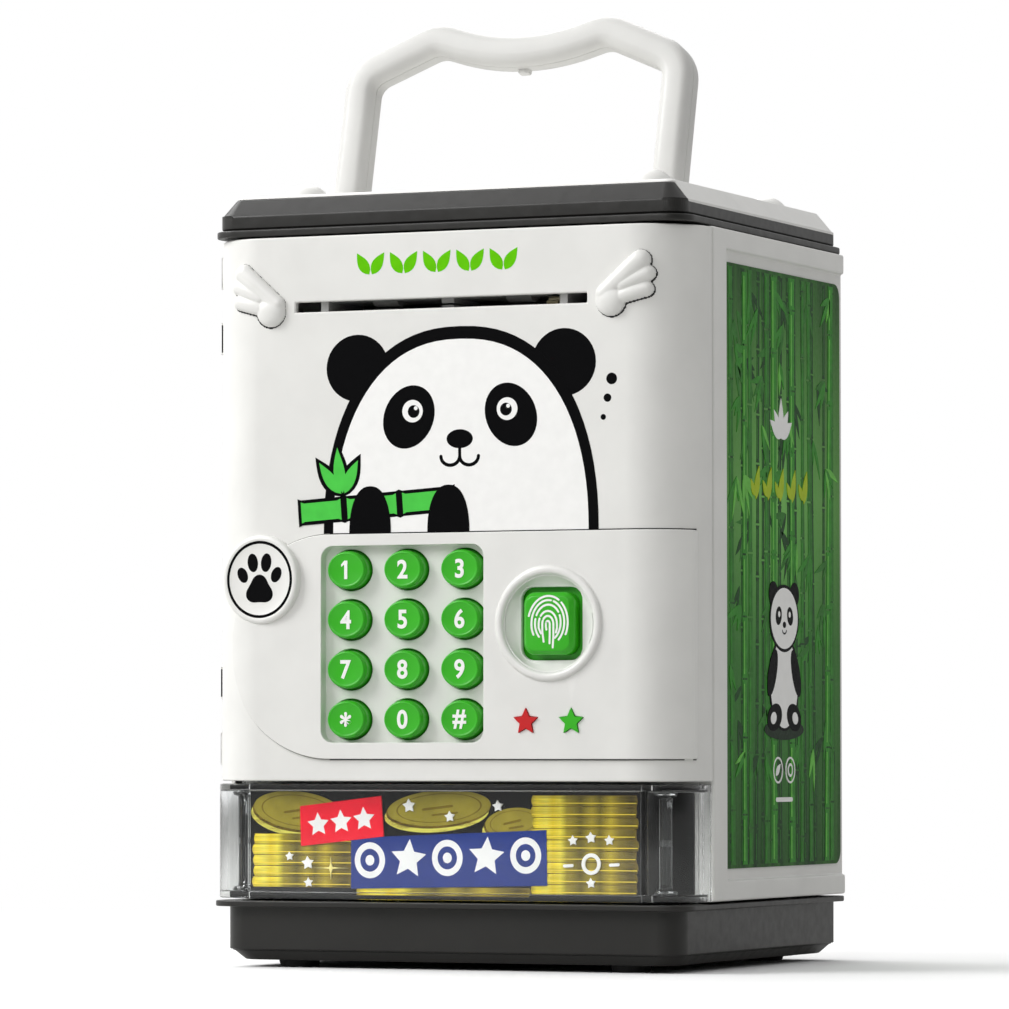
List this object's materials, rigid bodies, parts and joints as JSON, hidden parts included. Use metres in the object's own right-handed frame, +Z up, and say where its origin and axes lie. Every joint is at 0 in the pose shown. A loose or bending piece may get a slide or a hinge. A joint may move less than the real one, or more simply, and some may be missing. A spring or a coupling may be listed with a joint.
{
  "type": "toy atm savings bank",
  "caption": "Toy savings bank shaped like a cash machine: hinged keypad door with a note slot, display window, carry handle and money chamber behind the door.",
  "frame": {"origin": "on the surface the bank stands on, under the middle of its outer box, with the door closed and the handle leaning back", "axes": "+Z up, +Y to the back, +X to the right as seen from the front (keypad door) side"},
  "size_m": [0.13, 0.1144, 0.2376],
  "materials": {
    "white_plastic": "satin white moulded plastic",
    "dark_plastic": "charcoal moulded plastic",
    "black_plastic": "black plastic",
    "grey_plastic": "light grey plastic",
    "clear_plastic": "clear acrylic",
    "green_plastic": "glossy green plastic",
    "red_plastic": "glossy red plastic",
    "roller_rubber": "grey rubber tyre",
    "foot_rubber": "black rubber",
    "membrane_rubber": "silicone sheet",
    "steel": "bright steel",
    "gear_plastic": "natural nylon",
    "circuit_board": "green circuit board",
    "printed_card": "printed card of gold coins",
    "side_print": "printed sheet with bamboo stalks",
    "battery": "wrapped dry cells"
  },
  "bodies": {
    "cabinet": {"base_tray": "dark_plastic", "rubber_feet": "foot_rubber", "battery_box": "dark_plastic", "battery_cover": "dark_plastic", "battery_cover_screw": "steel", "battery_cells": "battery", "battery_contacts": "steel", "speaker": "black_plastic", "sound_board": "circuit_board", "chamber_floor": "white_plastic", "rear_casing": "white_plastic", "side_print_left": "side_print", "side_print_right": "side_print", "front_frame": "white_plastic", "window_cover": "clear_plastic", "window_card": "printed_card", "window_backing": "black_plastic", "lid_frame": "dark_plastic", "top_cover": "white_plastic", "lid_studs": "white_plastic", "handle_pins": "steel", "case_screws": "steel"},
    "door": {"door_panel": "white_plastic", "hinge_pins": "steel", "keypad_panel": "white_plastic", "badge_disc": "white_plastic", "wing_left": "white_plastic", "wing_right": "white_plastic", "star_red": "red_plastic", "star_green": "green_plastic", "key_membrane": "membrane_rubber", "keypad_board": "circuit_board", "door_liner": "white_plastic", "liner_screws": "steel", "feed_frame": "grey_plastic", "feed_motor": "steel", "latch_solenoid": "grey_plastic", "latch_spring": "steel"},
    "handle": {"handle_front_shell": "white_plastic", "handle_rear_shell": "white_plastic"},
    "feed_roller": {"feed_shaft": "steel", "feed_rollers": "roller_rubber", "feed_gear": "gear_plastic"},
    "pinch_roller": {"pinch_shaft": "steel", "pinch_rollers": "roller_rubber"},
    "pinion": {"motor_pinion": "gear_plastic"},
    "bolt": {"latch_bolt": "steel"},
    "print_button": {"fingerprint_button": "green_plastic"},
    "key_1_cap": {"key_1": "green_plastic"},
    "key_2_cap": {"key_2": "green_plastic"},
    "key_3_cap": {"key_3": "green_plastic"},
    "key_4_cap": {"key_4": "green_plastic"},
    "key_5_cap": {"key_5": "green_plastic"},
    "key_6_cap": {"key_6": "green_plastic"},
    "key_7_cap": {"key_7": "green_plastic"},
    "key_8_cap": {"key_8": "green_plastic"},
    "key_9_cap": {"key_9": "green_plastic"},
    "key_star_cap": {"key_star": "green_plastic"},
    "key_0_cap": {"key_0": "green_plastic"},
    "key_hash_cap": {"key_hash": "green_plastic"}
  },
  "joints": [
    {"name": "door_hinge", "type": "hinge", "parent": "cabinet", "child": "door", "pos_m": [-0.0628, -0.04005, 0.112], "axis": [0, 0, -1], "range_deg": [0, 90]},
    {"name": "handle_swing", "type": "hinge", "parent": "cabinet", "child": "handle", "pos_m": [0, -0.0147, 0.184], "axis": [1, 0, 0], "range_deg": [0, 28]},
    {"name": "feed_spin", "type": "hinge", "parent": "door", "child": "feed_roller", "pos_m": [0, -0.0445, 0.1572], "axis": [1, 0, 0], "continuous": true},
    {"name": "pinch_spin", "type": "hinge", "parent": "door", "child": "pinch_roller", "pos_m": [0, -0.0445, 0.1662], "axis": [1, 0, 0], "continuous": true},
    {"name": "pinion_spin", "type": "hinge", "parent": "door", "child": "pinion", "pos_m": [0.027, -0.03793, 0.15243], "axis": [1, 0, 0], "continuous": true},
    {"name": "bolt_slide", "type": "slide", "parent": "door", "child": "bolt", "axis": [1, 0, 0], "range_m": [0, 0.0045]},
    {"name": "print_press", "type": "slide", "parent": "door", "child": "print_button", "axis": [0, 1, 0], "range_m": [0, 0.0015], "stiffness_N_per_m": 600},
    {"name": "key_1_press", "type": "slide", "parent": "door", "child": "key_1_cap", "axis": [0, 1, 0], "range_m": [0, 0.0012], "stiffness_N_per_m": 500},
    {"name": "key_2_press", "type": "slide", "parent": "door", "child": "key_2_cap", "axis": [0, 1, 0], "range_m": [0, 0.0012], "stiffness_N_per_m": 500},
    {"name": "key_3_press", "type": "slide", "parent": "door", "child": "key_3_cap", "axis": [0, 1, 0], "range_m": [0, 0.0012], "stiffness_N_per_m": 500},
    {"name": "key_4_press", "type": "slide", "parent": "door", "child": "key_4_cap", "axis": [0, 1, 0], "range_m": [0, 0.0012], "stiffness_N_per_m": 500},
    {"name": "key_5_press", "type": "slide", "parent": "door", "child": "key_5_cap", "axis": [0, 1, 0], "range_m": [0, 0.0012], "stiffness_N_per_m": 500},
    {"name": "key_6_press", "type": "slide", "parent": "door", "child": "key_6_cap", "axis": [0, 1, 0], "range_m": [0, 0.0012], "stiffness_N_per_m": 500},
    {"name": "key_7_press", "type": "slide", "parent": "door", "child": "key_7_cap", "axis": [0, 1, 0], "range_m": [0, 0.0012], "stiffness_N_per_m": 500},
    {"name": "key_8_press", "type": "slide", "parent": "door", "child": "key_8_cap", "axis": [0, 1, 0], "range_m": [0, 0.0012], "stiffness_N_per_m": 500},
    {"name": "key_9_press", "type": "slide", "parent": "door", "child": "key_9_cap", "axis": [0, 1, 0], "range_m": [0, 0.0012], "stiffness_N_per_m": 500},
    {"name": "key_star_press", "type": "slide", "parent": "door", "child": "key_star_cap", "axis": [0, 1, 0], "range_m": [0, 0.0012], "stiffness_N_per_m": 500},
    {"name": "key_0_press", "type": "slide", "parent": "door", "child": "key_0_cap", "axis": [0, 1, 0], "range_m": [0, 0.0012], "stiffness_N_per_m": 500},
    {"name": "key_hash_press", "type": "slide", "parent": "door", "child": "key_hash_cap", "axis": [0, 1, 0], "range_m": [0, 0.0012], "stiffness_N_per_m": 500}
  ],
  "couplings": [
    {"joint": "pinch_spin", "follows": "feed_spin", "ratio": -1.2895},
    {"joint": "pinion_spin", "follows": "feed_spin", "ratio": -3}
  ]
}
